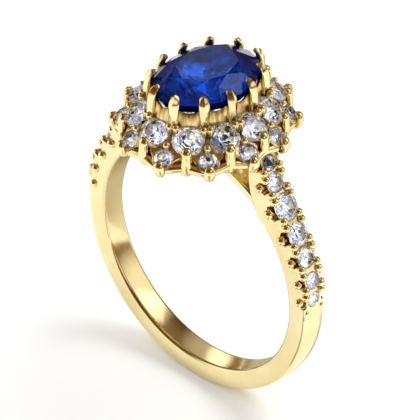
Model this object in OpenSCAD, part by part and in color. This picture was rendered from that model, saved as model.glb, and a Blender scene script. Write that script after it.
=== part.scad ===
// Oval halo engagement ring: a polished band with cathedral shoulders, an oval
// centre stone in twelve claws, and a double halo of round stones.
// Frame: origin at the centre of the finger hole, Y along the finger, Z up
// through the centre stone, X to the right-hand shoulder. Millimetres.

/* [Band] */
// Radius of the finger hole
bore_r = 8.45; // [7:0.05:11]
// Outside radius of the plain band
band_r = 10.0; // [9:0.05:13]
// Width of the band along the finger
band_w = 1.95; // [1.4:0.05:4]
// Rounding of the inner edges of the band
inner_round = 0.16; // [0.05:0.01:0.4]
// Rounding of the outer edges of the band
outer_round = 0.26; // [0.05:0.01:0.6]
// Radius of the top of the bridge under the setting
bridge_r = 9.15; // [8.8:0.05:10]
// Width of the bridge under the setting
bridge_w = 1.66; // [1:0.05:3]

/* [Shoulders] */
// Angle above the side of the band where the set stones begin
shoulder_start = 3.5; // [0:0.5:20]
// Angle where the shoulder leaves the band for the setting
shoulder_fork = 58; // [45:1:70]
// Height of the top of the cathedral arm
arm_top_z = 10.8; // [9.5:0.05:11.5]
// Radius of the prong heads that hold the shoulder stones
shoulder_grain_r = 0.26; // [0.1:0.01:0.35]
// Radius of the side scallops as a share of the stone's diameter
scallop_share = 0.38; // [0.2:0.01:0.45]

/* [Centre stone] */
// Width of the oval stone across the finger
centre_w = 6; // [4:0.1:9]
// Length of the oval stone along the finger
centre_l = 8; // [5:0.1:12]
// Height of the girdle of the centre stone
centre_z = 14.22; // [13:0.01:16]
// Height of the crown above the girdle
centre_crown = 1.02; // [0.6:0.01:1.6]
// Depth of the pavilion below the girdle
centre_pavilion = 2.5; // [1.5:0.05:3.5]
// Depth of the full belly of the pavilion
centre_belly = 0.5; // [0.12:0.01:0.8]
// Number of centre claws, and of stones in each row of the halo
claw_count = 12; // [8:4:16]

/* [Halo stones] */
// Diameter of the large stones
halo_d = 2.13; // [1.5:0.01:2.6]
// Half width of the oval through the large girdles
halo_a = 4.04; // [3.5:0.005:5]
// Half length of the oval through the large girdles
halo_b = 4.74; // [4:0.005:6]
// Height of the large girdles
halo_z = 12.3; // [11:0.01:14]
// Diameter of the accent stones
accent_d = 1.38; // [0.9:0.01:1.8]
// Half width of the oval through the accent girdles
accent_a = 5.1; // [4.5:0.005:6]
// Half length of the oval through the accent girdles
accent_b = 5.74; // [5:0.005:7]
// Height of the accent girdles
accent_z = 11.33; // [10.5:0.01:13]
// Outward lean of the halo stones
halo_tilt = 35; // [0:1:60]
// How far equal steps round the oval close up at its ends
oval_shift = 3.2; // [0:0.1:8]

/* [Gallery] */
// Half width of the oval rail under the halo
rail_a = 5.18; // [4.5:0.01:6]
// Half length of the oval rail under the halo
rail_b = 5.85; // [5:0.01:7]
// Height of the rail under the halo
rail_z = 10.76; // [10:0.01:12]
// Wire radius of the rail under the halo
rail_r = 0.28; // [0.1:0.01:0.35]
// Height of the base rail that stands on the bridge
base_z = 9.1; // [8.8:0.01:10]
// Wire radius of the base rail
base_r = 0.27; // [0.15:0.01:0.4]

/* [Display] */
// The piece to show

/* [Hidden] */
$fn = 64;
gold = [0.87, 0.70, 0.40];
diamond = [0.90, 0.93, 0.97];
sapphire_blue = [0.05, 0.10, 0.45];
step_angle = 360 / claw_count;
shoulder_stones = 7;
// Base outline of the centre stone, which claw paths are measured from
centre_a = centre_w / 2;
centre_b = centre_l / 2;
// Round brilliant proportions as shares of the diameter
crown_share = 0.16;
girdle_share = 0.03;
pavilion_share = 0.43;
table_share = 0.56;
centre_girdle = 0.22;
centre_table = 0.58;
// The rail bows outward and dips a little at the accent stones
rail_wave = -0.1;
rail_lift = 0.1;
// Prongs between the shoulder stones: spacing, distance in from the edge, post
prong_gap = 0.46;
prong_inset = 0.24;
prong_post = 0.6;
// Beads below the shoulder stones: distance in from the edge, smallest radius
bead_inset = 0.05;
bead_r = 0.18;
// Cups round the accent stones: wall at the rim and depth
cup_wall = 0.08;
cup_depth = 0.6;
// Halo plate: ovals of its edges, heights, and how its rim waves in and up
plate_in = [3.18, 3.98];
plate_out = [5.16, 5.86];
plate_top_z = 12.8;
plate_under_z = 12.3;
plate_rim_z = 11.32;
plate_wave = 0.34;
plate_rise = 0.32;
// Ovals and heights of the grains at the feet of the claws and above the accents
foot_grain = [3.84, 4.46, 12.84];
outer_grain = [4.64, 5.31, 12.0];
// Basket wall: mean oval, mean height of its rim, and its rise to each claw
wall_oval = [3.0, 4.0];
wall_top_z = 13.84;
wall_rise = 0.07;
wall_foot_z = 12.74;
eps = 0.01;

function two(i) = i < 10 ? str("0", i) : str(i);

// ---------------------------------------------------------------- helpers

// Even steps round the oval, drawn a little closer together towards its ends
function oval_angle(u) = u - oval_shift * sin(2 * u);
function oval_point(a, b, t) = [a * cos(t), b * sin(t)];
function oval_normal(a, b, t) =
    let (v = [cos(t) / a, sin(t) / b]) v / norm(v);
function oval_heading(a, b, t) =
    let (n = oval_normal(a, b, t)) atan2(n[1], n[0]);

// Children stand on the oval with X outward, leaning outward by tilt
module on_oval(a, b, z, u, tilt = 0) {
    t = oval_angle(u);
    translate([a * cos(t), b * sin(t), z])
        rotate([0, 0, oval_heading(a, b, t)])
            rotate([0, tilt, 0])
                children();
}

// Catmull-Rom curve through points of any length, steps pieces to a span
function curve(p, steps) =
    let (n = len(p), last = n - 1)
    concat(
        [for (i = [0:n - 2], k = [0:steps - 1])
            let (s = k / steps,
                 a = p[max(i - 1, 0)], b = p[i], c = p[i + 1],
                 d = p[min(i + 2, last)])
            0.5 * (2 * b + (c - a) * s + (2 * a - 5 * b + 4 * c - d) * s * s
                   + (3 * b - a - 3 * c + d) * s * s * s)],
        [p[last]]
    );

// Solid through a list of rings with the same number of points
module loft(rings, closed = false) {
    n = len(rings);
    m = len(rings[0]);
    last = closed ? n - 1 : n - 2;
    sides = [for (i = [0:last], j = [0:m - 1], half = [0, 1])
        let (p = i * m + j, q = i * m + (j + 1) % m,
             r = ((i + 1) % n) * m + (j + 1) % m, s = ((i + 1) % n) * m + j)
        half == 0 ? [p, q, r] : [p, r, s]];
    caps = closed ? [] : [
        [for (j = [0:m - 1]) m - 1 - j],
        [for (j = [0:m - 1]) (n - 1) * m + j]
    ];
    polyhedron(points = [for (r = rings, p = r) p],
               faces = concat(sides, caps), convexity = 6);
}

// Bent wire in the XZ plane. Each station is [x, z, radius, half width].
module bent_wire(stations, steps = 2, sides = 8) {
    path = curve(stations, steps);
    last = len(path) - 1;
    loft([for (i = [0:last])
        let (a = path[max(i - 1, 0)], b = path[min(i + 1, last)],
             way = atan2(b[1] - a[1], b[0] - a[0]))
        [for (j = [0:sides - 1])
            let (f = (j + 0.5) * 360 / sides, out = path[i][2] * cos(f))
            [path[i][0] - sin(way) * out, path[i][3] * sin(f),
             path[i][1] + cos(way) * out]]]);
}

// Closed oval wire; wave moves it outward and lift raises it between claws
module oval_wire(a, b, z, r, wave = 0, lift = 0, count = 96, sides = 6) {
    loft([for (i = [0:count - 1])
        let (u = i * 360 / count, t = oval_angle(u), n = oval_normal(a, b, t),
             phase = cos(claw_count * u),
             c = oval_point(a, b, t) + n * wave * phase)
        [for (j = [0:sides - 1])
            let (f = (j + 0.5) * 360 / sides)
            [c[0] + n[0] * r * cos(f), c[1] + n[1] * r * cos(f),
             z + lift * phase + r * sin(f)]]], closed = true);
}

// ----------------------------------------------------------------- stones

// Corner points of an eight-fold brilliant with half axes rx and ry, girdle
// at z = 0. The lower ring, foot, is its share of the girdle and its depth.
// Order: table, crown breaks, upper girdle, lower ring, pavilion breaks, culet.
function gem_points(rx, ry, crown, girdle, pavilion, table, foot) =
    let (mid = (table * cos(22.5) + 1) / 2,
         drop = (mid * cos(22.5) - table) / (1 - table),
         low = 0.22)
    [for (p = concat(
        [for (i = [0:7]) [table * cos(45 * i), table * sin(45 * i), crown]],
        [for (i = [0:7])
            [mid * cos(45 * i + 22.5), mid * sin(45 * i + 22.5),
             crown - drop * (crown - girdle / 2)]],
        [for (i = [0:15]) [cos(22.5 * i), sin(22.5 * i), girdle / 2]],
        [for (i = [0:15])
            [foot[0] * cos(22.5 * i), foot[0] * sin(22.5 * i), -foot[1]]],
        [for (i = [0:7])
            [low * cos(45 * i + 22.5), low * sin(45 * i + 22.5),
             -foot[1] - (pavilion - foot[1]) * (1 - low / foot[0] * cos(22.5))]],
        [[0, 0, -pavilion]]
    )) [p[0] * rx, p[1] * ry, p[2]]];

gem_faces = concat(
    [[7, 6, 5, 4, 3, 2, 1, 0]],
    [for (i = [0:7]) [i, (i + 1) % 8, 8 + i]],
    [for (i = [0:7]) [i, 8 + i, 16 + 2 * i, 8 + (i + 7) % 8]],
    [for (i = [0:7]) [8 + i, 17 + 2 * i, 16 + 2 * i]],
    [for (i = [0:7]) [8 + i, 16 + (2 * i + 2) % 16, 17 + 2 * i]],
    [for (i = [0:15]) [16 + i, 16 + (i + 1) % 16, 32 + (i + 1) % 16, 32 + i]],
    [for (i = [0:7]) [32 + 2 * i, 33 + 2 * i, 48 + i]],
    [for (i = [0:7]) [33 + 2 * i, 32 + (2 * i + 2) % 16, 48 + i]],
    [for (i = [0:7]) [32 + 2 * i, 48 + i, 56, 48 + (i + 7) % 8]]
);

module gem(rx, ry, crown, girdle, pavilion, table, foot) {
    polyhedron(points = gem_points(rx, ry, crown, girdle, pavilion, table, foot),
               faces = gem_faces, convexity = 2);
}

module brilliant(d) {
    gem(d / 2, d / 2, crown_share * d, girdle_share * d, pavilion_share * d,
        table_share, [1, girdle_share * d / 2]);
}

// Space that a seat leaves for a round stone: pavilion cone, girdle and above
module seat_space(d, above = 0.6) {
    r = d / 2 + eps;
    rotate_extrude()
        polygon([[0, -pavilion_share * d - 2 * eps], [r, 0], [r, above], [0, above]]);
}

module sapphire() {
    color(sapphire_blue)
        translate([0, 0, centre_z])
            gem(centre_a, centre_b, centre_crown, centre_girdle, centre_pavilion,
                centre_table, [0.95, centre_belly]);
}

module halo_diamond(i) {
    color(diamond)
        on_oval(halo_a, halo_b, halo_z, (i - 1) * step_angle, halo_tilt)
            brilliant(halo_d);
}

module accent_diamond(i) {
    color(diamond)
        on_oval(accent_a, accent_b, accent_z, (i - 0.5) * step_angle, halo_tilt)
            brilliant(accent_d);
}

// ---------------------------------------------------------------- shoulders

// Shoulder stones from the setting down: [x, z, diameter] of each girdle on
// the right-hand side, growing to the third stone and then shrinking.
shoulder_rows = [
    [5.58, 10.22, 1.16], [6.11, 8.98, 1.42], [7.15, 7.53, 1.94],
    [8.24, 5.90, 1.70], [9.03, 4.42, 1.44], [9.65, 2.89, 1.24],
    [9.80, 1.46, 1.14]
];
shoulder_last = shoulder_stones - 1;
function row_point(i) = [shoulder_rows[i][0], shoulder_rows[i][1]];
function row_heading(i) =
    let (a = row_point(max(i - 1, 0)), b = row_point(min(i + 1, shoulder_last)))
    atan2(b[0] - a[0], a[1] - b[1]);

// Children stand on shoulder stone i with Z out of the shoulder
module on_shoulder(i) {
    translate([shoulder_rows[i][0], 0, shoulder_rows[i][1]])
        rotate([0, 90 - row_heading(i), 0])
            children();
}

// Children stand between stones i and i + 1 on the shoulder
module between_stones(i) {
    a = row_point(i);
    b = row_point(i + 1);
    c = (a + b) / 2;
    translate([c[0], 0, c[1]])
        rotate([0, 90 - atan2(b[0] - a[0], a[1] - b[1]), 0])
            children();
}

module shoulder_diamond(i, side) {
    color(diamond)
        mirror([side < 0 ? 1 : 0, 0, 0])
            on_shoulder(i) brilliant(shoulder_rows[i][2]);
}

// Side outline of the right-hand shoulder and its cathedral arm
function shoulder_outline() =
    let (inner_turn = [for (k = [0:10])
             let (f = shoulder_start + k * (shoulder_fork - shoulder_start) / 10)
             [bridge_r * cos(f), bridge_r * sin(f)]],
         arm_inner = [[4.62, 8.38], [4.52, 9.1], [4.54, arm_top_z - 0.4]],
         crest = curve(concat([[5.02, 11.0]],
             [for (i = [0:shoulder_last]) row_point(i)],
             [[band_r * cos(shoulder_start), band_r * sin(shoulder_start)]]), 3))
    concat(inner_turn, arm_inner, [[4.74, arm_top_z]],
           [for (k = [2:len(crest) - 1]) crest[k]]);

module shoulder_blank() {
    rotate([90, 0, 0])
        translate([0, 0, -band_w / 2])
            linear_extrude(band_w) polygon(shoulder_outline());
}

// Two round-headed prongs side by side at each edge of the band
module shoulder_prongs(r) {
    for (x = [-1, 1], y = [-1, 1])
        translate([x * prong_gap / 2, y * (band_w / 2 - prong_inset), 0]) {
            sphere(r = r, $fn = 24);
            translate([0, 0, -prong_post]) cylinder(h = prong_post, r = r * 0.88, $fn = 24);
        }
}

// Round openings in the sides below a stone
module scallops(d) {
    for (y = [-1, 1])
        translate([0, y * band_w * 0.62, 0])
            rotate([90, 0, 0])
                cylinder(h = band_w * 0.44, r = scallop_share * d, center = true);
}

// Beads that stand in the scallops
module side_beads(d) {
    for (y = [-1, 1])
        translate([0, y * (band_w / 2 - bead_inset), -0.38 * d])
            sphere(r = bead_r + 0.075 * d, $fn = 24);
}

module right_shoulder_body() {
    difference() {
        union() {
            difference() {
                shoulder_blank();
                for (i = [0:shoulder_last])
                    on_shoulder(i) scallops(shoulder_rows[i][2]);
            }
            for (i = [0:shoulder_last])
                on_shoulder(i) side_beads(shoulder_rows[i][2]);
            for (i = [0:shoulder_last - 1])
                between_stones(i) shoulder_prongs(shoulder_grain_r);
        }
        rail_piece(0, 1);
        for (i = [0:shoulder_last])
            on_shoulder(i) seat_space(shoulder_rows[i][2]);
    }
}

module right_shoulder() {
    color(gold) right_shoulder_body();
}

module left_shoulder() {
    color(gold) mirror([1, 0, 0]) right_shoulder_body();
}

// -------------------------------------------------------------------- shank

// Quarter-round corner from one heading to the next, centre at c
function corner(c, r, from) =
    [for (k = [0:4]) c + r * [cos(from + k * 22.5), sin(from + k * 22.5)]];

// Section of the band: r1 to r2, width w, inner corners e1, outer corners e2
function band_section(r1, r2, w, e1, e2, crown = 0) =
    concat(
        corner([r1 + e1, w / 2 - e1], e1, 90),
        corner([r1 + e1, -w / 2 + e1], e1, 180),
        corner([r2 - e2 - crown, -w / 2 + e2], e2, 270),
        [for (k = [-2:2])
            let (y = k / 3) [r2 - crown * y * y, y * (w / 2 - e2)]],
        corner([r2 - e2 - crown, w / 2 - e2], e2, 0)
    );

module hoop(from, turn, section) {
    rotate([90, 0, 0])
        rotate_extrude(angle = turn, start = from, $fn = 180)
            polygon(section);
}

module shank() {
    plain = 180 - 2 * shoulder_start;
    color(gold) {
        hoop(180 - shoulder_start, 180 + 2 * shoulder_start,
             band_section(bore_r, band_r, band_w, inner_round, outer_round, 0.1));
        hoop(shoulder_start, plain,
             band_section(bore_r, bridge_r, bridge_w, inner_round, 0.12));
        for (side = [shoulder_start, 180 - shoulder_fork])
            hoop(side, shoulder_fork - shoulder_start,
                 band_section(bore_r, bridge_r, band_w, inner_round, 0.01));
    }
}

// ------------------------------------------------------------------ setting

// Half-plane path of a centre claw, measured outward from the stone's edge
claw_path = [
    [-0.80, base_z + 0.1, 0.24, 0.24], [-0.38, 10.5, 0.24, 0.25],
    [0.10, 11.8, 0.26, 0.28], [0.32, 12.9, 0.28, 0.32], [0.31, 13.9, 0.28, 0.33],
    [0.21, 14.45, 0.28, 0.35], [0.02, 14.76, 0.24, 0.29], [-0.16, 14.88, 0.17, 0.2],
    [-0.27, 14.92, 0.06, 0.07]
];

module claw_wire(i, steps = 2) {
    t = oval_angle((i - 0.5) * step_angle);
    translate([centre_a * cos(t), centre_b * sin(t), 0])
        rotate([0, 0, oval_heading(centre_a, centre_b, t)])
            bent_wire(claw_path, steps);
}

module centre_claw(i) {
    color(gold)
        difference() {
            claw_wire(i);
            sapphire();
        }
}

// A grain: a small round bead on a short post
module grain(r, post) {
    sphere(r = r, $fn = 16);
    translate([0, 0, -post]) cylinder(h = post, r = r * 0.88, $fn = 16);
}

module all_seats() {
    for (i = [0:claw_count - 1]) {
        on_oval(halo_a, halo_b, halo_z, i * step_angle, halo_tilt)
            seat_space(halo_d, 0.85);
        on_oval(accent_a, accent_b, accent_z, (i + 0.5) * step_angle, halo_tilt)
            seat_space(accent_d, 0.5);
    }
}

module all_centre_claws() {
    for (i = [1:claw_count]) claw_wire(i);
}

// Sloping plate that carries both rows of stones, with a zigzag outline and a
// skirt that comes down to the rail
module plate_blank() {
    count = 96;
    foot_inset = 0.12;
    foot_depth = 0.45;
    loft([for (i = [0:count - 1])
        let (u = i * 360 / count, t = oval_angle(u), phase = cos(claw_count * u),
             n = oval_normal(plate_out[0], plate_out[1], t),
             in = oval_point(plate_in[0], plate_in[1], t),
             out = oval_point(plate_out[0], plate_out[1], t) - n * plate_wave * phase,
             foot = oval_point(rail_a - foot_inset, rail_b - foot_inset, t)
                 + n * rail_wave * phase,
             under = foot - n * foot_depth,
             foot_z = rail_z + rail_lift * phase + rail_r)
        [[in[0], in[1], plate_top_z], [in[0], in[1], plate_under_z],
         [under[0], under[1], foot_z + 0.1], [foot[0], foot[1], foot_z],
         [out[0], out[1], plate_rim_z + plate_rise * phase]]], closed = true);
}

// Tapering cup that closes round an accent stone from below
module accent_cup() {
    translate([0, 0, -cup_depth])
        cylinder(h = cup_depth, r1 = accent_d / 4, r2 = accent_d / 2 + cup_wall,
                 $fn = 32);
}

module halo_plate() {
    color(gold)
        difference() {
            union() {
                plate_blank();
                for (i = [0:claw_count - 1]) {
                    u = (i + 0.5) * step_angle;
                    for (y = [-1, 1])
                        on_oval(foot_grain[0], foot_grain[1], foot_grain[2], u, 8)
                            translate([0, y * 0.22, 0]) grain(0.26, 0.62);
                    on_oval(outer_grain[0], outer_grain[1], outer_grain[2], u,
                            halo_tilt)
                        grain(0.25, 0.5);
                    on_oval(accent_a, accent_b, accent_z, u, halo_tilt) accent_cup();
                }
            }
            all_seats();
            claw_passages();
        }
}

// Straight holes that let the centre claws through the plate
module claw_passages() {
    low = claw_path[2];
    high = claw_path[3];
    lean = atan2(high[0] - low[0], high[1] - low[1]);
    for (i = [0:claw_count - 1])
        on_oval(centre_a, centre_b, 0, (i + 0.5) * step_angle)
            translate([low[0], 0, low[1]])
                rotate([0, lean, 0])
                    translate([0, 0, -0.5])
                        cylinder(h = 2.5, r = high[3] + eps, $fn = 24);
}

// Half-plane paths of the outer claws, measured outward from the stone row:
// round tip over the stone's edge, then down to the rail
halo_claw_path = [
    [0.80, 12.06, 0.1, 0.12], [0.90, 12.1, 0.24, 0.29], [1.02, 11.95, 0.3, 0.35],
    [1.07, 11.55, 0.28, 0.34], [1.10, 11.1, 0.28, 0.37], [1.07, 10.7, 0.28, 0.40],
    [0.92, 10.42, 0.24, 0.34], [0.58, 10.34, 0.19, 0.22]
];
accent_claw_path = [
    [0.44, 11.2, 0.1, 0.12], [0.54, 11.27, 0.22, 0.28], [0.66, 11.12, 0.28, 0.35],
    [0.69, 10.8, 0.28, 0.37], [0.49, 10.42, 0.24, 0.32], [0.12, 10.52, 0.18, 0.22]
];

module halo_claw_wire(i) {
    on_oval(halo_a, halo_b, 0, (i - 1) * step_angle) bent_wire(halo_claw_path);
}

module accent_claw_wire(i) {
    on_oval(accent_a, accent_b, 0, (i - 0.5) * step_angle)
        bent_wire(accent_claw_path);
}

// Short straight piece of rail wire, for the saddles cut where claws meet it
module rail_piece(u, phase) {
    on_oval(rail_a, rail_b, rail_z + phase * rail_lift, u)
        translate([phase * rail_wave, 0, 0])
            rotate([90, 0, 0])
                cylinder(h = 1.6, r = rail_r, center = true, $fn = 24);
}

module halo_claws() {
    color(gold)
        for (i = [1:claw_count])
            difference() {
                halo_claw_wire(i);
                halo_diamond(i);
                rail_piece((i - 1) * step_angle, 1);
            }
}

module accent_claws() {
    color(gold)
        for (i = [1:claw_count])
            difference() {
                accent_claw_wire(i);
                accent_diamond(i);
                rail_piece((i - 0.5) * step_angle, -1);
            }
}

module gallery_rail() {
    color(gold) oval_wire(rail_a, rail_b, rail_z, rail_r, rail_wave, rail_lift);
}

// Wall under the edge of the centre stone, rising to each claw
module centre_basket() {
    count = 96;
    color(gold)
        difference() {
            loft([for (i = [0:count - 1])
                let (u = i * 360 / count, t = oval_angle(u),
                     n = oval_normal(wall_oval[0], wall_oval[1], t),
                     c = oval_point(wall_oval[0], wall_oval[1], t),
                     top = wall_top_z - wall_rise * cos(claw_count * u))
                [for (p = [[0.14, top - 0.1], [0.06, top], [-0.2, top - 0.06],
                           [-0.1, top - 0.4], [0, wall_foot_z + 0.04],
                           [0.25, wall_foot_z]])
                    [c[0] + n[0] * p[0], c[1] + n[1] * p[0], p[1]]]],
                closed = true);
            all_centre_claws();
            sapphire();
        }
}

module basket_base() {
    inset = claw_path[0][0];
    color(gold)
        difference() {
            oval_wire(centre_a + inset, centre_b + inset, base_z, base_r,
                      count = 60);
            all_centre_claws();
            rotate([90, 0, 0])
                cylinder(h = bridge_w, r = bridge_r, center = true);
        }
}

// ----------------------------------------------------------------- assembly

shank();
left_shoulder();
right_shoulder();
basket_base();
centre_basket();
gallery_rail();
halo_plate();
halo_claws();
accent_claws();
sapphire();
for (i = [1:claw_count]) {
    centre_claw(i);
    halo_diamond(i);
    accent_diamond(i);
}
for (i = [1:shoulder_stones]) {
    shoulder_diamond(i - 1, -1);
    shoulder_diamond(i - 1, 1);
}
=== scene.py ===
"""Looks of the oval halo engagement ring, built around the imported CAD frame.

Shapes are worked out in millimetres in the CAD frame (origin at the centre of
the finger hole, Y along the finger, Z up through the centre stone) and stored
in metres.
"""

import math

import bmesh
import bpy
import numpy as np
from mathutils import Matrix, Vector


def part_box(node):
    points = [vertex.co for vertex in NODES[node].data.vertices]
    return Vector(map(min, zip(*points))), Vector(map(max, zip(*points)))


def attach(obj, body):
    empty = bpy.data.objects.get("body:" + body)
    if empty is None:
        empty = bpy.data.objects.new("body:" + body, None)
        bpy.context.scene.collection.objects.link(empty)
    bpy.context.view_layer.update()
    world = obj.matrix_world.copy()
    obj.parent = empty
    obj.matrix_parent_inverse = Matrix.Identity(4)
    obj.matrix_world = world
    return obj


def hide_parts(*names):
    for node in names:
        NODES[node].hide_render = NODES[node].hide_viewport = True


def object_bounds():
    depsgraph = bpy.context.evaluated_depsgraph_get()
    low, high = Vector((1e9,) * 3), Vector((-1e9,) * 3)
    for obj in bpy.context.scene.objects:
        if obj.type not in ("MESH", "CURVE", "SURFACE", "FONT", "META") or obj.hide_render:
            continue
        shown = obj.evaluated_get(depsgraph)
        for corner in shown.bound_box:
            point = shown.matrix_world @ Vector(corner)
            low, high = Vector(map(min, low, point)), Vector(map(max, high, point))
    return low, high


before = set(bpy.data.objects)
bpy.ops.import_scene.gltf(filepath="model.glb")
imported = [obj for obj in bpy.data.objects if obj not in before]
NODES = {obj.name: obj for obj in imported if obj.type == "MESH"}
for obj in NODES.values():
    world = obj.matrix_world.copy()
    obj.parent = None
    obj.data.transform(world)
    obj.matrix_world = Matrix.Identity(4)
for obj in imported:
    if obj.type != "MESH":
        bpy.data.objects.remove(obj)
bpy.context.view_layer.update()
MM = 0.001

# ------------------------------------------------------------ driving sizes
BORE_R = 8.45
BAND_R = 10.0
BAND_W = 1.95
BRIDGE_R = 9.15
BRIDGE_W = 1.66
INNER_ROUND = 0.28
OUTER_ROUND = 0.2
BRIDGE_ROUND, BRIDGE_DOME = 0.2, 0.04
BRIDGE_SPAN = 38              # degrees each way from the top
BAND_DOME = 0.1
BAND_SUNK = 0.12              # how far the band's end goes under a shoulder
HIDDEN = 0.03                 # how far the bore steps back under a shoulder
SHOULDER_START = 3.5          # degrees above the side of the band
SHOULDER_LAP = 3.0            # degrees that the band and a shoulder share
CLAWS = 12                    # centre claws, and stones in each halo row
STEP = 360 / CLAWS
OVAL_SHIFT = 3.2              # how the even steps close up at the oval's ends
CENTRE_A, CENTRE_B = 3.0, 4.0
HALO_TILT = 35
RAIL_A, RAIL_B, RAIL_Z, RAIL_R = 5.18, 5.85, 10.76, 0.33
RAIL_WAVE, RAIL_LIFT = -0.1, 0.1
BASE_Z, BASE_R = 9.1, 0.27
PRONG_R = 0.31
PRONG_GAP = 0.48
PRONG_INSET, PRONG_POST = 0.28, 0.5
BEAD_SIZE, BEAD_SHARE = 0.23, 0.14    # side bead: a size plus a share of the stone
WALL_TOP, WALL_RISE = 13.9, 0.13
PLATE_IN_A, PLATE_IN_B = 3.18, 3.98
PLATE_OUT_A, PLATE_OUT_B = 5.16, 5.86
PLATE_WAY_A, PLATE_WAY_B = 5.2, 5.88  # oval that gives the way its rim waves
PLATE_TOP, PLATE_UNDER, PLATE_RIM = 12.8, 12.3, 11.32
PLATE_WAVE, PLATE_LIFT = 0.34, 0.32
PLATE_FOOT_INSET, PLATE_FOOT_DEPTH = 0.12, 0.45
FOOT_GRAIN_A, FOOT_GRAIN_B, FOOT_GRAIN_Z = 3.84, 4.46, 12.92
OUTER_GRAIN_A, OUTER_GRAIN_B, OUTER_GRAIN_Z = 4.64, 5.31, 12.06
ROUND_CROWN, ROUND_GIRDLE, ROUND_PAVILION, ROUND_TABLE = 0.32, 0.03, 0.86, 0.56
SEAT_TIP, SEAT_FIT = 0.04, 1.01       # seat ends, as shares of a stone's radius
BACK_MARK = "pavilion"        # face mark: pavilion facets, painted as a mirror with painted sparkle and glow for the light they send back up
CROWN_MARK = "crown"          # face mark: facets round the table


# ------------------------------------------------------------------ helpers
def cosd(a):
    return math.cos(math.radians(a))


def sind(a):
    return math.sin(math.radians(a))


def oval_angle(u):
    return u - OVAL_SHIFT * sind(2 * u)


def oval_point(a, b, u):
    t = oval_angle(u)
    return np.array([a * cosd(t), b * sind(t), 0.0])


def oval_normal(a, b, u):
    t = oval_angle(u)
    n = np.array([cosd(t) / a, sind(t) / b, 0.0])
    return n / np.linalg.norm(n)


def oval_frame(a, b, z, u, tilt=0.0):
    """Origin and axes on an oval: outward, sideways, up, leaning out by tilt."""
    out = oval_normal(a, b, u)
    side = np.array([-out[1], out[0], 0.0])
    up = np.array([0.0, 0.0, 1.0])
    leant_up = up * cosd(tilt) + out * sind(tilt)
    leant_out = out * cosd(tilt) - up * sind(tilt)
    return oval_point(a, b, u) + [0, 0, z], leant_out, side, leant_up


def curve_through(points, steps):
    """Catmull-Rom curve through rows of numbers."""
    p = np.array(points, float)
    rows = []
    for i in range(len(p) - 1):
        a, b, c, d = p[max(i - 1, 0)], p[i], p[i + 1], p[min(i + 2, len(p) - 1)]
        for k in range(steps):
            s = k / steps
            rows.append(0.5 * (2 * b + (c - a) * s
                               + (2 * a - 5 * b + 4 * c - d) * s * s
                               + (3 * b - a - 3 * c + d) * s ** 3))
    rows.append(p[-1])
    return np.array(rows)


def smooth_step(x, low, high):
    s = min(1.0, max(0.0, (x - low) / (high - low)))
    return s * s * (3 - 2 * s)


class Builder:
    """Collects closed shells in millimetres and turns them into one piece."""

    def __init__(self):
        self.bm = bmesh.new()

    def loft(self, rings, closed=False):
        rows = [[self.bm.verts.new(p) for p in ring] for ring in rings]
        n, m = len(rows), len(rows[0])
        for i in range(n if closed else n - 1):
            a, b = rows[i], rows[(i + 1) % n]
            for j in range(m):
                k = (j + 1) % m
                self.bm.faces.new((a[j], a[k], b[k], b[j]))
        if not closed:
            self.bm.faces.new(list(reversed(rows[0])))
            self.bm.faces.new(rows[-1])
        return self

    def wire(self, place, stations, sides=16, steps=4, ridge=0.0, above=0.0):
        """Bent wire in the out/up plane of a place.

        A station is (out, up, thickness radius, half width). Above the given
        height its back is filed to a ridge.
        """
        origin, out, side, up = place
        path = curve_through(stations, steps)
        rings = []
        for i, (x, z, r, w) in enumerate(path):
            a, b = path[max(i - 1, 0)], path[min(i + 1, len(path) - 1)]
            way = math.atan2(b[1] - a[1], b[0] - a[0])
            across = -math.sin(way) * out + math.cos(way) * up
            middle = origin + x * out + z * up
            sharp = ridge * smooth_step(z, above - 0.3, above + 0.2)
            ring = []
            for j in range(sides):
                f = 360 * j / sides
                back = cosd(f)
                if back < 0:
                    back = (1 - sharp) * back - sharp * max(0, 1 - abs(sind(f)))
                ring.append(middle + across * r * back + side * w * sind(f))
            rings.append(ring)
        return self.loft(rings)

    def ball(self, centre, r, up=(0, 0, 1), post=0.0):
        """Round grain, drawn out downward into a post."""
        up = Vector(up).normalized()
        turn = up.to_track_quat("Z", "Y").to_matrix().to_4x4()
        here = Matrix.Translation(Vector(centre)) @ turn
        made = bmesh.ops.create_uvsphere(self.bm, u_segments=16, v_segments=10,
                                         radius=r, matrix=here)
        if post:
            inverse = here.inverted()
            for v in made["verts"]:
                local = inverse @ v.co
                if local.z < -0.05 * r:
                    local.z -= post
                    v.co = here @ local
        return self

    def joined(self, obj):
        """Adds an object's own shells and takes its place."""
        name = obj.name
        self.bm.from_mesh(obj.data)
        bpy.data.objects.remove(obj)
        return self.object(name)

    def object(self, name):
        mesh = bpy.data.meshes.new(name)
        bmesh.ops.recalc_face_normals(self.bm, faces=self.bm.faces)
        self.bm.to_mesh(mesh)
        self.bm.free()
        obj = bpy.data.objects.new(name, mesh)
        bpy.context.scene.collection.objects.link(obj)
        return obj


def bake_modifiers(obj):
    """Replaces the mesh with what its modifiers make of it."""
    graph = bpy.context.evaluated_depsgraph_get()
    mesh = bpy.data.meshes.new_from_object(obj.evaluated_get(graph))
    obj.modifiers.clear()
    old = obj.data
    obj.data = mesh
    bpy.data.meshes.remove(old)


def cast(obj, voxel, relax):
    """Melts overlapping shells into one skin, as one casting."""
    remesh = obj.modifiers.new("skin", "REMESH")
    remesh.mode = "VOXEL"
    remesh.voxel_size = voxel
    smooth = obj.modifiers.new("relax", "SMOOTH")
    smooth.factor = 0.5
    smooth.iterations = relax
    bake_modifiers(obj)


def carve(obj, cutter):
    cut = obj.modifiers.new("cut", "BOOLEAN")
    cut.operation = "DIFFERENCE"
    cut.solver = "MANIFOLD"
    cut.object = cutter
    bake_modifiers(obj)
    bpy.data.objects.remove(cutter)


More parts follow.
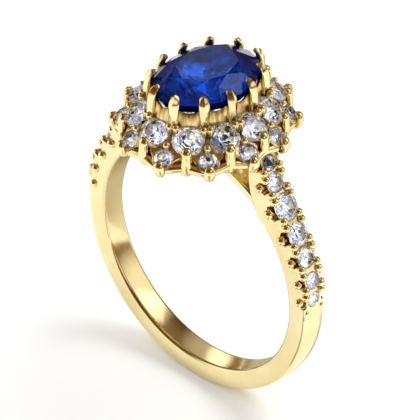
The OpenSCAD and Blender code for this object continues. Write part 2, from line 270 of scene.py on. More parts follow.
def place_piece(obj, material, nodes, crease=40):
    """Scales to metres, shades, gives the material and joins the frame."""
    obj.data.transform(Matrix.Scale(MM, 4))
    obj.data.shade_smooth()
    if crease is not None:
        obj.data.set_sharp_from_angle(angle=math.radians(crease))
    obj.data.materials.clear()
    obj.data.materials.append(material)
    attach(obj, "root")
    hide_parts(*nodes)
    return obj


# ---------------------------------------------------------------- materials
def new_material(name):
    mat = bpy.data.materials.new(name)
    mat.use_nodes = True
    tree = mat.node_tree
    return mat, tree, tree.nodes["Principled BSDF"]


def object_coords(tree, scale):
    coords = tree.nodes.new("ShaderNodeTexCoord")
    mapping = tree.nodes.new("ShaderNodeMapping")
    mapping.inputs["Scale"].default_value = scale
    tree.links.new(coords.outputs["Object"], mapping.inputs["Vector"])
    return mapping.outputs["Vector"]


def noise(tree, vector, scale, detail, roughness=0.5):
    node = tree.nodes.new("ShaderNodeTexNoise")
    node.inputs["Scale"].default_value = scale
    node.inputs["Detail"].default_value = detail
    node.inputs["Roughness"].default_value = roughness
    tree.links.new(vector, node.inputs["Vector"])
    return node.outputs["Fac"]


def ramp(tree, fac, stops):
    node = tree.nodes.new("ShaderNodeValToRGB")
    items = node.color_ramp.elements
    while len(items) < len(stops):
        items.new(0.5)
    for item, (at, colour) in zip(items, stops, strict=True):
        item.position = at
        item.color = (*colour, 1.0)
    tree.links.new(fac, node.inputs["Fac"])
    return node.outputs["Color"]


def spread_from(tree, fac, start, end, low, high):
    node = tree.nodes.new("ShaderNodeMapRange")
    node.inputs["From Min"].default_value = start
    node.inputs["From Max"].default_value = end
    node.inputs["To Min"].default_value = low
    node.inputs["To Max"].default_value = high
    tree.links.new(fac, node.inputs["Value"])
    return node.outputs["Result"]


def spread(tree, fac, low, high):
    """Spreads the middle of a noise over a range."""
    return spread_from(tree, fac, 0.3, 0.7, low, high)


def bump(tree, height, strength, distance):
    node = tree.nodes.new("ShaderNodeBump")
    node.inputs["Strength"].default_value = strength
    node.inputs["Distance"].default_value = distance
    tree.links.new(height, node.inputs["Height"])
    return node.outputs["Normal"]


def mixed(tree, fac, first, second):
    node = tree.nodes.new("ShaderNodeMix")
    node.data_type = "RGBA"
    tree.links.new(fac, node.inputs["Factor"])
    for colour, name in ((first, "A"), (second, "B")):
        socket = [i for i in node.inputs if i.name == name and i.type == "RGBA"][0]
        if isinstance(colour, tuple):
            socket.default_value = (*colour, 1.0)
        else:
            tree.links.new(colour, socket)
    return [o for o in node.outputs if o.type == "RGBA"][0]


# Painted shade colour for the hollows of the gold.
PAINTED_SHADE_GOLD = (0.42, 0.22, 0.06)
# Painted shade: dark blue on the sapphire's pavilion near its girdle.
SHADE_BLUE = (0.001, 0.002, 0.03)
POLISHED = ((0.90, 0.75, 0.38), (0.96, 0.83, 0.48))
# Tone ranges of the basket wall and the seats: random tone, darkened by painted shade.
WALL_TONE_AND_SHADE = ((0.42, 0.25, 0.07), (0.90, 0.72, 0.34))
SEAT_TONE_AND_SHADE = ((0.68, 0.48, 0.17), (0.96, 0.82, 0.45))


def gold_material(name, rough, scratch, streak=(1000, 9000, 1000), painted_shade_reach=0.0,
                  tones=POLISHED, tone_scale=0.35):
    """Polished gold: uneven tone, fine wear, and painted shade: dark brown blended into
    its hollows by ambient occlusion.
    """
    mat, tree, shader = new_material(name)
    even = object_coords(tree, (1000, 1000, 1000))
    drawn = object_coords(tree, streak)
    tone = noise(tree, even if tones is POLISHED else drawn, tone_scale, 3)
    colour = ramp(tree, tone, [(0.35, tones[0]), (0.65, tones[1])])
    # Painted shade: ambient occlusion blends the colour towards a dark brown in crevices
    # and hollows.
    if painted_shade_reach:
        shade_mask = tree.nodes.new("ShaderNodeAmbientOcclusion")
        shade_mask.samples = 6
        shade_mask.inputs["Distance"].default_value = painted_shade_reach * MM
        depth = spread_from(tree, shade_mask.outputs["AO"], 0.1, 0.65, 0.0, 1.0)
        colour = mixed(tree, depth, PAINTED_SHADE_GOLD, colour)
    tree.links.new(colour, shader.inputs["Base Color"])
    shader.inputs["Metallic"].default_value = 1.0
    wear = noise(tree, drawn, 1.3, 4, 0.6)
    tree.links.new(spread(tree, wear, rough * 0.6, rough * 1.5),
                   shader.inputs["Roughness"])
    fine = noise(tree, drawn, 4.0, 2)
    tree.links.new(bump(tree, fine, scratch, 0.00001), shader.inputs["Normal"])
    return mat


def gem_material(name, front, crown, back, tint_scale, ior, glance, sheen, sparkle_cells,
                 painted_glow, glow_depths=None):
    """Clear table and crown over a pavilion painted as a mirror, with painted sparkle and
    painted glow for the light it throws back up.

    front and back are pairs of colours that the zoning runs between; back is the
    painted reflection of the pavilion. sparkle_cells is the painted sparkle, a
    fine mosaic of light and dark cells on the pavilion, given as (cells per mm,
    stops). painted_glow is painted light, an emission for the light it scatters
    back, and glow_depths the heights in millimetres over which the painted
    pavilion brightens towards its point, with painted shade in deep blue above.
    """
    mat, tree, shader = new_material(name)
    even = object_coords(tree, (1000, 1000, 1000))
    zoning = noise(tree, even, tint_scale, 2)
    mark = tree.nodes.new("ShaderNodeAttribute")
    mark.attribute_name = BACK_MARK
    rim = tree.nodes.new("ShaderNodeAttribute")
    rim.attribute_name = CROWN_MARK
    clear = mixed(tree, rim.outputs["Fac"],
                  ramp(tree, zoning, [(0.35, front[0]), (0.65, front[1])]), crown)
    painted_mirror = ramp(tree, zoning, [(0.35, back[0]), (0.65, back[1])])
    # Painted sparkle: a mosaic of light and dark cells multiplies the painted reflection
    # of the pavilion.
    cells = tree.nodes.new("ShaderNodeTexVoronoi")
    cells.inputs["Scale"].default_value = sparkle_cells[0]
    tree.links.new(even, cells.inputs["Vector"])
    grey = tree.nodes.new("ShaderNodeSeparateColor")
    tree.links.new(cells.outputs["Color"], grey.inputs["Color"])
    product = tree.nodes.new("ShaderNodeVectorMath")
    product.operation = "MULTIPLY"
    tree.links.new(painted_mirror, product.inputs[0])
    tree.links.new(ramp(tree, grey.outputs["Red"], sparkle_cells[1]), product.inputs[1])
    painted_mirror = product.outputs["Vector"]
    # Painted shade and glow: dark blue near the girdle, brightening towards the pavilion's
    # point.
    if glow_depths:
        height = tree.nodes.new("ShaderNodeSeparateXYZ")
        tree.links.new(even, height.inputs["Vector"])
        lit = spread_from(tree, height.outputs["Z"], *glow_depths, 1.0, 0.0)
        painted_mirror = mixed(tree, lit, SHADE_BLUE, painted_mirror)
    # The pavilion facets are a metallic mirror in the painted reflection colour.
    tree.links.new(mixed(tree, mark.outputs["Fac"], clear, painted_mirror),
                   shader.inputs["Base Color"])
    tree.links.new(mark.outputs["Fac"], shader.inputs["Metallic"])
    polish = noise(tree, even, 6.0, 2)
    tree.links.new(spread(tree, polish, 0.0, 0.015), shader.inputs["Roughness"])
    shader.inputs["Transmission Weight"].default_value = 1.0
    shader.inputs["IOR"].default_value = ior
    shader.inputs["Specular IOR Level"].default_value = glance
    shader.inputs["Specular Tint"].default_value = (*sheen, 1.0)
    # Painted glow: the pavilion emits its painted reflection colour, though it is no lamp.
    tree.links.new(mixed(tree, mark.outputs["Fac"], (0.0, 0.0, 0.0), painted_mirror),
                   shader.inputs["Emission Color"])
    shader.inputs["Emission Strength"].default_value = painted_glow
    return mat


GOLD = gold_material("polished_gold", 0.14, 0.05)
# Setting, basket and seat gold carry painted shade in their hollows.
CAST_GOLD = gold_material("setting_gold", 0.12, 0.12, painted_shade_reach=0.7)
WALL_GOLD = gold_material("basket_gold", 0.2, 1.0, streak=(6000, 6000, 500),
                          painted_shade_reach=0.8, tones=WALL_TONE_AND_SHADE, tone_scale=0.7)
PLATE_GOLD = gold_material("seat_gold", 0.16, 1.0, streak=(3000, 3000, 3000),
                           painted_shade_reach=0.7, tones=SEAT_TONE_AND_SHADE, tone_scale=0.8)
# Diamond: a near-white painted reflection on the pavilion, a painted sparkle mosaic and a
# painted glow of 0.26.
DIAMOND = gem_material(
    "diamond", ((0.97, 0.98, 1.0), (1.0, 1.0, 1.0)), (1.0, 1.0, 1.0),
    ((0.92, 0.94, 0.99), (0.98, 0.98, 1.0)), 0.8, 2.42, 0.25, (0.85, 0.9, 1.0),
    (3.8, [(0.0, (0.005, 0.006, 0.015)), (0.18, (0.02, 0.025, 0.06)),
           (0.21, (0.40, 0.43, 0.55)), (0.48, (0.85, 0.88, 0.97)),
           (0.60, (1.0, 1.0, 1.0))]), 0.26)
# Sapphire: a blue painted reflection and sparkle, a painted glow of 0.65 and painted shade
# near the girdle.
SAPPHIRE = gem_material(
    "sapphire", ((0.45, 0.65, 0.92), (0.55, 0.75, 0.97)), (0.13, 0.20, 0.54),
    ((0.004, 0.03, 0.22), (0.02, 0.16, 0.68)), 0.6, 1.77, 0.7, (0.35, 0.55, 1.0),
    (1.7, [(0.0, (0.30, 0.25, 0.30)), (0.4, (0.55, 0.55, 0.60)),
           (0.8, (1.0, 1.0, 1.0))]), 0.65, glow_depths=(12.4, 13.8))


# ------------------------------------------------------------------- stones
def gem(builder, place, rx, ry, crown, girdle, pavilion, table, spin=0.0,
        belly=None):
    """Eight-fold brilliant: table, stars, kites, halves, then the pavilion.

    girdle is its height above and below the widest plane; belly adds a steep
    tier below it, given as a share of the girdle and a depth.
    """
    origin, out, side, up = place
    marks = builder.bm.faces.layers.float
    for name in (BACK_MARK, CROWN_MARK):
        if marks.get(name) is None:
            marks.new(name)
    mark, rim = marks.get(BACK_MARK), marks.get(CROWN_MARK)
    mid = (table * cosd(22.5) + 1) / 2
    drop = (mid * cosd(22.5) - table) / (1 - table)
    low = 0.22
    foot, foot_z = belly or (1.0, girdle[1])

    def ring(count, start, r, z):
        return [(r * cosd(start + 360 * i / count),
                 r * sind(start + 360 * i / count), z) for i in range(count)]

    def corners(points):
        c, s = cosd(spin), sind(spin)
        return [builder.bm.verts.new(origin + out * rx * (x * c - y * s)
                                     + side * ry * (x * s + y * c) + up * z)
                for x, y, z in points]

    tops = corners(ring(8, 0, table, crown))
    breaks = corners(ring(8, 22.5, mid, crown - drop * (crown - girdle[0])))
    upper = corners(ring(16, 0, 1, girdle[0]))
    lower = corners(ring(16, 0, 1, -girdle[1]))
    belt = corners(ring(16, 0, foot, -foot_z)) if belly else lower
    deeps = corners(ring(8, 22.5, low, -foot_z - (pavilion - foot_z)
                         * (1 - low / foot * cosd(22.5))))
    culet = corners([(0, 0, -pavilion)])[0]
    face = builder.bm.faces.new

    def back(points):
        face(points)[mark] = 1.0

    def crown_facet(points):
        face(points)[rim] = 1.0

    face(tops)
    for i in range(8):
        n, p = (i + 1) % 8, (i - 1) % 8
        a, b, c = 2 * i, 2 * i + 1, (2 * i + 2) % 16
        crown_facet((tops[i], breaks[i], tops[n]))
        crown_facet((tops[i], breaks[p], upper[a], breaks[i]))
        crown_facet((breaks[i], upper[a], upper[b]))
        crown_facet((breaks[i], upper[b], upper[c]))
        for j, k in ((a, b), (b, c)):
            back((upper[j], lower[j], lower[k], upper[k]))
            if belly:
                back((lower[j], belt[j], belt[k], lower[k]))
        back((belt[a], deeps[i], belt[b]))
        back((belt[b], deeps[i], belt[c]))
        back((belt[a], deeps[p], culet, deeps[i]))


def stone_place(node):
    """Girdle centre, axes and girdle radius of a round stone of the frame."""
    mesh = NODES[node].data
    points = np.array([v.co for v in mesh.vertices]) / MM
    points = np.unique(points.round(5), axis=0)
    middle = points.mean(axis=0)
    up = np.linalg.svd(points - middle)[2][2]
    along = (points - middle) @ up
    across = np.linalg.norm(points - middle - np.outer(along, up), axis=1)
    girdle = along[across > 0.97 * across.max()].mean()
    if along.max() - girdle > girdle - along.min():
        up, girdle = -up, -girdle
    out = np.cross((0, 1, 0), up)
    if np.linalg.norm(out) < 0.1:
        out = np.cross((1, 0, 0), up)
    out /= np.linalg.norm(out)
    return (middle + up * girdle, out, np.cross(up, out), up), across.max()


def round_stone(node, spin):
    place, r = stone_place(node)
    builder = Builder()
    gem(builder, place, r, r, ROUND_CROWN * r, (ROUND_GIRDLE * r, ROUND_GIRDLE * r),
        ROUND_PAVILION * r, ROUND_TABLE, spin)
    obj = builder.object(node + "_stone")
    return place_piece(obj, DIAMOND, [node], crease=1)


for i in range(1, CLAWS + 1):
    round_stone(f"halo_diamond_{i:02d}", 17 * i)
    round_stone(f"accent_diamond_{i:02d}", 29 * i)
for i in range(1, 8):
    round_stone(f"left_shoulder_diamond_{i}", 13 * i)
    round_stone(f"right_shoulder_diamond_{i}", 23 * i)

CROWN, PAVILION = 1.02, 2.5
stone_top = np.array(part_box("sapphire")[1])[2] / MM
CENTRE_Z = stone_top - CROWN
builder = Builder()
gem(builder, (np.array([0, 0, CENTRE_Z]), *np.eye(3)), CENTRE_A, CENTRE_B, CROWN,
    (0.11, 0.02), PAVILION, 0.58, belly=(0.95, 0.5))
place_piece(builder.object("sapphire_stone"), SAPPHIRE, ["sapphire"],
            crease=1)


# --------------------------------------------------------------------- band
def band_ring(angle, r1, r2, w, e1, e2, dome):
    """Rounded section of the band at an angle round the finger hole."""
    section = []
    for cr, cy, e, start in ((r1 + e1, w / 2 - e1, e1, 90),
                             (r1 + e1, -w / 2 + e1, e1, 180),
                             (r2 - e2 - dome, -w / 2 + e2, e2, 270)):
        section += [(cr + e * cosd(start + 90 * k / 5),
                     cy + e * sind(start + 90 * k / 5)) for k in range(6)]
    for k in range(-4, 5):
        y = k / 5
        section.append((r2 - dome * y * y, y * (w / 2 - e2)))
    section += [(r2 - e2 - dome + e2 * cosd(90 * k / 5),
                 w / 2 - e2 + e2 * sind(90 * k / 5)) for k in range(6)]
    return [np.array([r * cosd(angle), y, r * sind(angle)]) for r, y in section]


def band():
    """Plain hoop with the bridge under the setting."""
    builder = Builder()
    rings = []
    for k in range(720):
        angle = k / 2
        from_top = abs(angle - 90) if angle < 270 else 360 - angle + 90
        if from_top <= BRIDGE_SPAN:
            rings.append(band_ring(angle, BORE_R, BRIDGE_R, BRIDGE_W, INNER_ROUND,
                                   BRIDGE_ROUND, BRIDGE_DOME))
        elif from_top < 90 - SHOULDER_START - SHOULDER_LAP:
            rings.append(band_ring(angle, BORE_R + HIDDEN, BRIDGE_R, BRIDGE_W,
                                   INNER_ROUND, BRIDGE_ROUND, BRIDGE_DOME))
        else:
            sunk = smooth_step(90 - from_top, SHOULDER_START - SHOULDER_LAP,
                               SHOULDER_START + SHOULDER_LAP)
            rings.append(band_ring(angle, BORE_R, BAND_R - BAND_SUNK * sunk, BAND_W,
                                   INNER_ROUND, OUTER_ROUND, BAND_DOME))
    builder.loft(rings, closed=True)
    place_piece(builder.object("band"), GOLD, ["shank"], crease=60)


band()


# ---------------------------------------------------------------- shoulders
shoulder_stones = [stone_place(f"right_shoulder_diamond_{i}") for i in range(1, 8)]
shoulder_rows = [(p[0][0], p[0][2], 2 * r) for p, r in shoulder_stones]


def shoulder_sections():
    """Pairs of inner and outer points up the right-hand shoulder."""
    crest = curve_through(
        [((BAND_R - 0.03) * cosd(SHOULDER_START - SHOULDER_LAP),
          (BAND_R - 0.03) * sind(SHOULDER_START - SHOULDER_LAP))]
        + [(x, z) for x, z, _ in reversed(shoulder_rows)] + [(5.28, 10.72)], 8)
    inner = curve_through(
        [((BORE_R + sunk) * cosd(a), (BORE_R + sunk) * sind(a)) for a, sunk in
         [(SHOULDER_START - SHOULDER_LAP, 0.03), (SHOULDER_START, 0.005)]
         + [(a, -0.01) for a in np.linspace(8, 50, 8)]]
        + [(5.0, 7.3), (4.72, 8.1), (4.56, 9.0), (4.56, 10.0), (4.74, 10.8)], 8)

    def evenly(path, count):
        steps = np.linalg.norm(np.diff(path, axis=0), axis=1)
        at = np.concatenate([[0], np.cumsum(steps)])
        want = np.linspace(0, at[-1], count)
        return np.stack([np.interp(want, at, path[:, k]) for k in range(2)], axis=1)

    return evenly(inner, 70), evenly(crest, 70)


def disc(origin, axis_a, axis_b, r, count=30):
    return [origin + r * (axis_a * cosd(f) + axis_b * sind(f))
            for f in (360 * k / count for k in range(count))]


def seat_cutters(stones, height, count):
    """Cones with a well above them that cut the seats of round stones."""
    cutters = Builder()
    for (origin, out, side, up), r in stones:
        cutters.loft([disc(origin + up * z, out, side, r * share, count)
                      for share, z in ((SEAT_TIP, -ROUND_PAVILION * r),
                                       (SEAT_FIT, 0.0), (SEAT_FIT, height))])
    return cutters.object("seat_cutters")


def shoulder(name, node, mirrored):
    inner, crest = shoulder_sections()
    builder = Builder()
    rings = []
    for k, (a, b) in enumerate(zip(inner, crest, strict=True)):
        half = BAND_W / 2 + 0.02 - 0.05 * (1 - smooth_step(k, 0, 6))
        away = (b - a) / np.linalg.norm(b - a)
        e1 = INNER_ROUND
        e2 = OUTER_ROUND + (0.12 - OUTER_ROUND) * smooth_step(k, 0, 6)
        ring = []
        for base, side, e, start in ((a, 1, e1, 90), (a, -1, e1, 180),
                                     (b, -1, e2, 270), (b, 1, e2, 360)):
            for q in range(5):
                f = start + 90 * q / 4
                inward = e if base is a else -e
                ring.append((base + away * (inward + e * cosd(f)),
                             side * (half - e) + e * sind(f)))
        rings.append([np.array([p[0], y, p[1]]) for p, y in ring])
    builder.loft(rings)
    obj = builder.object(name)
    cast(obj, 0.05, 1)
    # Round openings in the sides, then the seats
    cutters = Builder()
    for (origin, out, side, up), r in shoulder_stones:
        along = np.cross((0, 1, 0), up)
        for y in (-1, 1):
            cutters.loft([disc(origin + np.array([0, y * half * depth, 0]),
                               along, up, 2 * r * share)
                          for depth, share in ((0.70, 0.32), (0.82, 0.38),
                                               (1.3, 0.42))])
    carve(obj, cutters.object("scallop_cutters"))
    carve(obj, seat_cutters(shoulder_stones, 0.9, 30))
    # Prongs between the stones and beads in the openings
    extra = Builder()
    for (origin, out, side, up), r in shoulder_stones:
        for y in (-1, 1):
            extra.ball(origin + np.array([0, y * (half - 0.05), 0]) - up * 0.76 * r,
                       BEAD_SIZE + BEAD_SHARE * r, up)
    for i in range(len(shoulder_rows) - 1):
        (x1, z1, _), (x2, z2, _) = shoulder_rows[i], shoulder_rows[i + 1]
        tangent = np.array([x2 - x1, 0, z2 - z1])
        tangent /= np.linalg.norm(tangent)
        up = np.array([-tangent[2], 0, tangent[0]])
        middle = np.array([(x1 + x2) / 2, 0, (z1 + z2) / 2])
        for x, y in ((-1, -1), (-1, 1), (1, -1), (1, 1)):
            extra.ball(middle + tangent * x * PRONG_GAP / 2
                       + np.array([0, y * (half - PRONG_INSET), 0]) + up * 0.02,
                       PRONG_R, up, post=PRONG_POST)
    for y in (-1, 1):
        end = shoulder_stones[-1][0][0] - up * 0.06
        extra.ball(end + tangent * 0.82 + np.array([0, y * (half - 0.3), 0]), 0.2, up)
    obj = extra.joined(obj)
    if mirrored:
        obj.data.transform(Matrix.Scale(-1, 4, (1, 0, 0)))
        obj.data.flip_normals()
    return place_piece(obj, CAST_GOLD, [node], crease=35)


shoulder("right_cathedral_shoulder", "right_shoulder", False)
shoulder("left_cathedral_shoulder", "left_shoulder", True)


# ------------------------------------------------------------------ setting
def oval_wire(a, b, z, r, wave=0.0, lift=0.0, count=240, sides=14):
    rings = []
    for k in range(count):
        u = 360 * k / count
        n = oval_normal(a, b, u)
        phase = cosd(CLAWS * u)
        c = oval_point(a, b, u) + n * wave * phase
        rings.append([c + n * r * cosd(f) + np.array([0, 0, z + lift * phase
                                                      + r * sind(f)])
                      for f in (360 * j / sides for j in range(sides))])
    return rings


CLAW_PATH = [
    (-0.80, BASE_Z + 0.1, 0.24, 0.24), (-0.38, 10.5, 0.24, 0.25),
    (0.10, 11.8, 0.26, 0.28), (0.32, 12.9, 0.28, 0.32), (0.31, 13.9, 0.28, 0.34),
    (0.21, 14.44, 0.28, 0.36), (0.03, 14.76, 0.24, 0.30),
    (-0.15, 14.88, 0.18, 0.22), (-0.25, 14.92, 0.09, 0.11), (-0.29, 14.93, 0.03, 0.03),
]
def centre_claws():
    """Twelve wires from the base rail to tips over the centre stone."""
    for i in range(1, CLAWS + 1):
        place = oval_frame(CENTRE_A, CENTRE_B, 0, (i - 0.5) * STEP)
        builder = Builder()
        builder.wire(place, CLAW_PATH, steps=5, ridge=0.75, above=12.9)
        place_piece(builder.object(f"claw_{i:02d}"), CAST_GOLD,
                    [f"centre_claw_{i:02d}"], crease=50)


centre_claws()


def rails():
    """Base rail on the bridge and wavy rail under the halo."""
    builder = Builder()
    builder.loft(oval_wire(CENTRE_A - 0.8, CENTRE_B - 0.8, BASE_Z, BASE_R), closed=True)
    place_piece(builder.object("base_rail"), CAST_GOLD, ["basket_base"],
                crease=80)

    builder = Builder()
    builder.loft(oval_wire(RAIL_A, RAIL_B, RAIL_Z, RAIL_R, RAIL_WAVE, RAIL_LIFT),
                 closed=True)
    place_piece(builder.object("under_rail"), CAST_GOLD, ["gallery_rail"],
                crease=80)


rails()


def basket_wall():
    """Wall under the centre stone, rising to each claw."""
    builder = Builder()
    rings = []
    for k in range(288):
        u = 360 * k / 288
        n = oval_normal(CENTRE_A, CENTRE_B, u)
        top = WALL_TOP - WALL_RISE * cosd(CLAWS * u)
        c = oval_point(CENTRE_A, CENTRE_B, u)
        rings.append([c + n * x + np.array([0, 0, z]) for x, z in (
            (0.12, top - 0.14), (0.05, top), (-0.02, top), (-0.16, top - 0.16),
            (-0.1, top - 0.4), (0.0, 12.78), (0.08, 12.70), (0.26, 12.74),
            (0.24, 13.1))])
    builder.loft(rings, closed=True)
    place_piece(builder.object("basket_wall"), WALL_GOLD, ["centre_basket"],
                crease=50)


basket_wall()


def halo_plate():
    """Sloping plate with both rows of seats, and its grains as their own piece."""
    builder = Builder()
    rings = []
    for k in range(288):
        u = 360 * k / 288
        phase = cosd(CLAWS * u)
        n = oval_normal(PLATE_WAY_A, PLATE_WAY_B, u)
        inside = oval_point(PLATE_IN_A, PLATE_IN_B, u)
        outside = oval_point(PLATE_OUT_A, PLATE_OUT_B, u) - n * PLATE_WAVE * phase
        z = PLATE_RIM + PLATE_LIFT * phase
        foot = oval_point(RAIL_A - PLATE_FOOT_INSET, RAIL_B - PLATE_FOOT_INSET, u)
        foot = foot + n * RAIL_WAVE * phase
        foot_z = RAIL_Z + RAIL_LIFT * phase
        rings.append([inside + [0, 0, PLATE_TOP], inside + [0, 0, PLATE_UNDER],
                      foot - n * PLATE_FOOT_DEPTH + [0, 0, foot_z + 0.3],
                      foot + [0, 0, foot_z],
                      outside + [0, 0, z]])
    builder.loft(rings, closed=True)
    for i in range(1, CLAWS + 1):
        (origin, out, side, up), r = stone_place(f"accent_diamond_{i:02d}")
        builder.loft([disc(origin + up * z, out, side, share * r)
                      for share, z in ((0.4, -0.62), (0.85, -0.4), (1.08, -0.18),
                                       (1.13, -0.02))])
    plate = builder.object("halo_plate_casting")
    cast(plate, 0.05, 2)
    stones = [stone_place(f"{row}_diamond_{i:02d}") for i in range(1, CLAWS + 1)
              for row in ("halo", "accent")]
    carve(plate, seat_cutters(stones, 0.3, 36))
    builder = Builder()
    for i in range(CLAWS):
        u = (i + 0.5) * STEP
        origin, out, side, up = oval_frame(FOOT_GRAIN_A, FOOT_GRAIN_B, FOOT_GRAIN_Z, u, 8)
        for y in (-1, 1):
            builder.ball(origin + side * y * 0.22, 0.26, up, post=0.6)
        origin, out, side, up = oval_frame(OUTER_GRAIN_A, OUTER_GRAIN_B, OUTER_GRAIN_Z,
                                           u, HALO_TILT)
        builder.ball(origin, 0.25, up, post=0.5)
    place_piece(plate, PLATE_GOLD, ["halo_plate"], crease=35)
    place_piece(builder.object("halo_plate_grains"), CAST_GOLD, ["halo_plate"],
                crease=80)


halo_plate()


HALO_CLAW = [
    (0.76, 12.02, 0.03, 0.04), (0.80, 12.09, 0.15, 0.19), (0.90, 12.12, 0.25, 0.30),
    (1.02, 11.95, 0.30, 0.36), (1.07, 11.55, 0.28, 0.35), (1.10, 11.1, 0.28, 0.38),
    (1.07, 10.7, 0.28, 0.41), (0.92, 10.42, 0.24, 0.35), (0.58, 10.34, 0.19, 0.22),
]
ACCENT_CLAW = [
    (0.40, 11.16, 0.03, 0.04), (0.44, 11.24, 0.13, 0.16), (0.54, 11.27, 0.22, 0.26),
    (0.66, 11.12, 0.28, 0.36), (0.69, 10.8, 0.28, 0.38), (0.49, 10.42, 0.24, 0.33),
    (0.12, 10.5, 0.18, 0.22),
]
HALO_A, HALO_B, ACCENT_A, ACCENT_B = 4.04, 4.74, 5.1, 5.74
def outer_claws():
    """Claws of the large halo stones and of the accent stones."""
    builder = Builder()
    for i in range(CLAWS):
        builder.wire(oval_frame(HALO_A, HALO_B, 0, i * STEP), HALO_CLAW)
    place_piece(builder.object("halo_claw_wires"), CAST_GOLD, ["halo_claws"],
                crease=80)
    builder = Builder()
    for i in range(CLAWS):
        builder.wire(oval_frame(ACCENT_A, ACCENT_B, 0, (i + 0.5) * STEP), ACCENT_CLAW)
    place_piece(builder.object("accent_claw_wires"), CAST_GOLD,
                ["accent_claws"], crease=80)


outer_claws()


# ------------------------------------------------------------ floor, lights
def floor_material():
    mat, tree, shader = new_material("paper_floor")
    even = object_coords(tree, (40, 40, 40))
    tone = noise(tree, even, 1.0, 2)
    tree.links.new(ramp(tree, tone, [(0.0, (0.93, 0.93, 0.93)),
                                     (1.0, (0.95, 0.95, 0.95))]),
                   shader.inputs["Base Color"])
    shader.inputs["Roughness"].default_value = 0.9
    return mat


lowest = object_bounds()[0].z
FLOOR_REACH = 0.6             # metres each way
def lay_floor():
    """White floor just under the ring."""
    bm = bmesh.new()
    bmesh.ops.create_grid(bm, x_segments=8, y_segments=8, size=FLOOR_REACH)
    floor_mesh = bpy.data.meshes.new("floor")
    bm.to_mesh(floor_mesh)
    bm.free()
    floor = bpy.data.objects.new("floor", floor_mesh)
    floor.location = (0, 0, lowest - 0.00002)
    bpy.context.scene.collection.objects.link(floor)
    floor_mesh.materials.append(floor_material())


lay_floor()


def shadow_card_material():
    """Grey card, darkest where it is nearest to the ring: painted shadow for the floor's
    shade round the ring.
    """
    mat, tree, shader = new_material("studio_card")
    split = tree.nodes.new("ShaderNodeSeparateXYZ")
    tree.links.new(object_coords(tree, (50, 50, 50)), split.inputs["Vector"])
    # Painted shadow: darker towards the card's near edge and towards its left side.
    far = ramp(tree, split.outputs["Y"], [(0.15, (0.40, 0.36, 0.28)),
                                          (0.5, (0.54, 0.50, 0.42)),
                                          (0.9, (0.66, 0.64, 0.58))])
    across = spread_from(tree, split.outputs["X"], -0.6, -0.2, 0.0, 1.0)
    tree.links.new(mixed(tree, across, (0.24, 0.18, 0.10), far),
                   shader.inputs["Base Color"])
    shader.inputs["Roughness"].default_value = 1.0
    return mat


def lay_shadow_cards():
    """Two cards on the floor, behind and before the ring, seen only in reflections:
    painted shadow that darkens the floor the gold reflects.
    """
    card_mesh = bpy.data.meshes.new("shadow_cards")
    card_mesh.from_pydata([Vector((x, y, 0)) * MM for x, y in (
        (-30, 3), (6, 3), (60, 70), (-60, 70), (5, -7), (20, -36), (36, -26), (9, -4))],
        [], [(0, 1, 2, 3), (4, 5, 6, 7)])
    card = bpy.data.objects.new("shadow_cards", card_mesh)
    card.location = (0, 0, lowest + 0.0001)
    card.visible_camera = False
    card.visible_diffuse = False
    card.visible_shadow = False
    card.visible_transmission = False
    bpy.context.scene.collection.objects.link(card)
    card_mesh.materials.append(shadow_card_material())


lay_shadow_cards()


def area_light(name, azimuth, elevation, distance, size, power, target=(0, 0, 0.005)):
    """Soft light aimed at the ring; azimuth as for the views."""
    data = bpy.data.lights.new(name, "AREA")
    data.shape = "RECTANGLE"
    data.size, data.size_y = size
    data.energy = power
    light = bpy.data.objects.new(name, data)
    back = Vector((sind(azimuth) * cosd(elevation), -cosd(azimuth) * cosd(elevation),
                   sind(elevation)))
    light.location = Vector(target) + back * distance
    light.rotation_mode = "QUATERNION"
    light.rotation_quaternion = back.to_track_quat("Z", "Y")
    bpy.context.scene.collection.objects.link(light)
    return light


area_light("key_light", 145, 50, 0.35, (0.16, 0.16), 0.06)
floor_light = area_light("floor_light", 160, 62, 0.35, (0.20, 0.20), 0.42)
floor_light.visible_glossy = False
floor_light.visible_transmission = False

world = bpy.data.worlds.new("studio")
bpy.context.scene.world = world
world.use_nodes = True
tree = world.node_tree
coords = tree.nodes.new("ShaderNodeTexCoord").outputs["Generated"]


def vector_math(operation, first, second):
    node = tree.nodes.new("ShaderNodeVectorMath")
    node.operation = operation
    for socket, value in zip(node.inputs, (first, second), strict=False):
        if isinstance(value, tuple):
            socket.default_value = value
        else:
            tree.links.new(value, socket)
    return node.outputs["Value" if operation == "DOT_PRODUCT" else "Vector"]


def softbox(sky, azimuth, elevation, inside, outside, brightness):
    """Adds a soft-edged round light to the sky; angles in degrees."""
    towards = (sind(azimuth) * cosd(elevation), -cosd(azimuth) * cosd(elevation),
               sind(elevation))
    dot = vector_math("DOT_PRODUCT", coords, towards)
    fade = spread_from(tree, dot, cosd(outside), cosd(inside), 0.0, brightness)
    return vector_math("ADD", sky, fade)


split = tree.nodes.new("ShaderNodeSeparateXYZ")
tree.links.new(coords, split.inputs["Vector"])
# A dim warm room with a few white lights in it
sky = ramp(tree, split.outputs["Z"], [(0.0, (0.30, 0.20, 0.09)),
                                      (0.2, (0.19, 0.10, 0.035)),
                                      (0.7, (0.09, 0.035, 0.006)),
                                      (1.0, (0.30, 0.22, 0.12))])
sky = softbox(sky, 138, 34, 14, 32, 0.95)
sky = softbox(sky, 232, 23, 6, 14, 1.3)
sky = softbox(sky, 222, 38, 8, 22, 0.4)
sky = softbox(sky, 300, 14, 14, 30, 1.0)
sky = softbox(sky, 78, 25, 8, 20, 0.85)
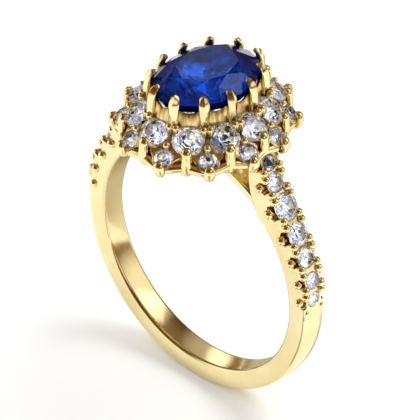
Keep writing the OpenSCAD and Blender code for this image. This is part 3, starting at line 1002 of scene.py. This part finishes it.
# What the stones see: white with dark gaps
gaps = noise(tree, coords, 7.0, 2)
gem_sky = ramp(tree, gaps, [(0.36, (0.05, 0.055, 0.07)), (0.44, (0.80, 0.83, 0.92)),
                            (0.52, (1.6, 1.6, 1.6))])
path = tree.nodes.new("ShaderNodeLightPath")
seen = mixed(tree, path.outputs["Is Transmission Ray"], sky, gem_sky)
tree.links.new(mixed(tree, path.outputs["Is Diffuse Ray"], seen, (1.02, 1.02, 1.02)),
               tree.nodes["Background"].inputs["Color"])

# ------------------------------------------------------------------- camera
VIEW_AZIMUTH, VIEW_ELEVATION, VIEW_ROLL = 42.602, 36.835, 1.125
VIEW_DISTANCE = 200.0
AIM_RIGHT, AIM_UP = 0.430, 2.812
FOCAL_SHARE = 7.1071429       # focal length over picture width
SENSOR = 36.0
def aim_camera():
    """Camera on the line of sight, rolled a little."""
    back = np.array([sind(VIEW_AZIMUTH) * cosd(VIEW_ELEVATION),
                     -cosd(VIEW_AZIMUTH) * cosd(VIEW_ELEVATION),
                     sind(VIEW_ELEVATION)])
    level = np.array([cosd(VIEW_AZIMUTH), sind(VIEW_AZIMUTH), 0.0])
    above = np.cross(back, level)
    right = level * cosd(VIEW_ROLL) + above * sind(VIEW_ROLL)
    upward = -level * sind(VIEW_ROLL) + above * cosd(VIEW_ROLL)
    camera_data = bpy.data.cameras.new("camera")
    camera_data.sensor_width = SENSOR
    camera_data.lens = FOCAL_SHARE * SENSOR
    camera_data.clip_start, camera_data.clip_end = 0.005, 5.0
    camera = bpy.data.objects.new("camera", camera_data)
    bpy.context.scene.collection.objects.link(camera)
    spot = right * AIM_RIGHT + upward * AIM_UP + back * VIEW_DISTANCE
    camera.matrix_world = Matrix((
        (right[0], upward[0], back[0], spot[0] * MM),
        (right[1], upward[1], back[1], spot[1] * MM),
        (right[2], upward[2], back[2], spot[2] * MM),
        (0, 0, 0, 1)))
    bpy.context.scene.camera = camera


aim_camera()


bpy.context.scene.view_settings.view_transform = "Standard"
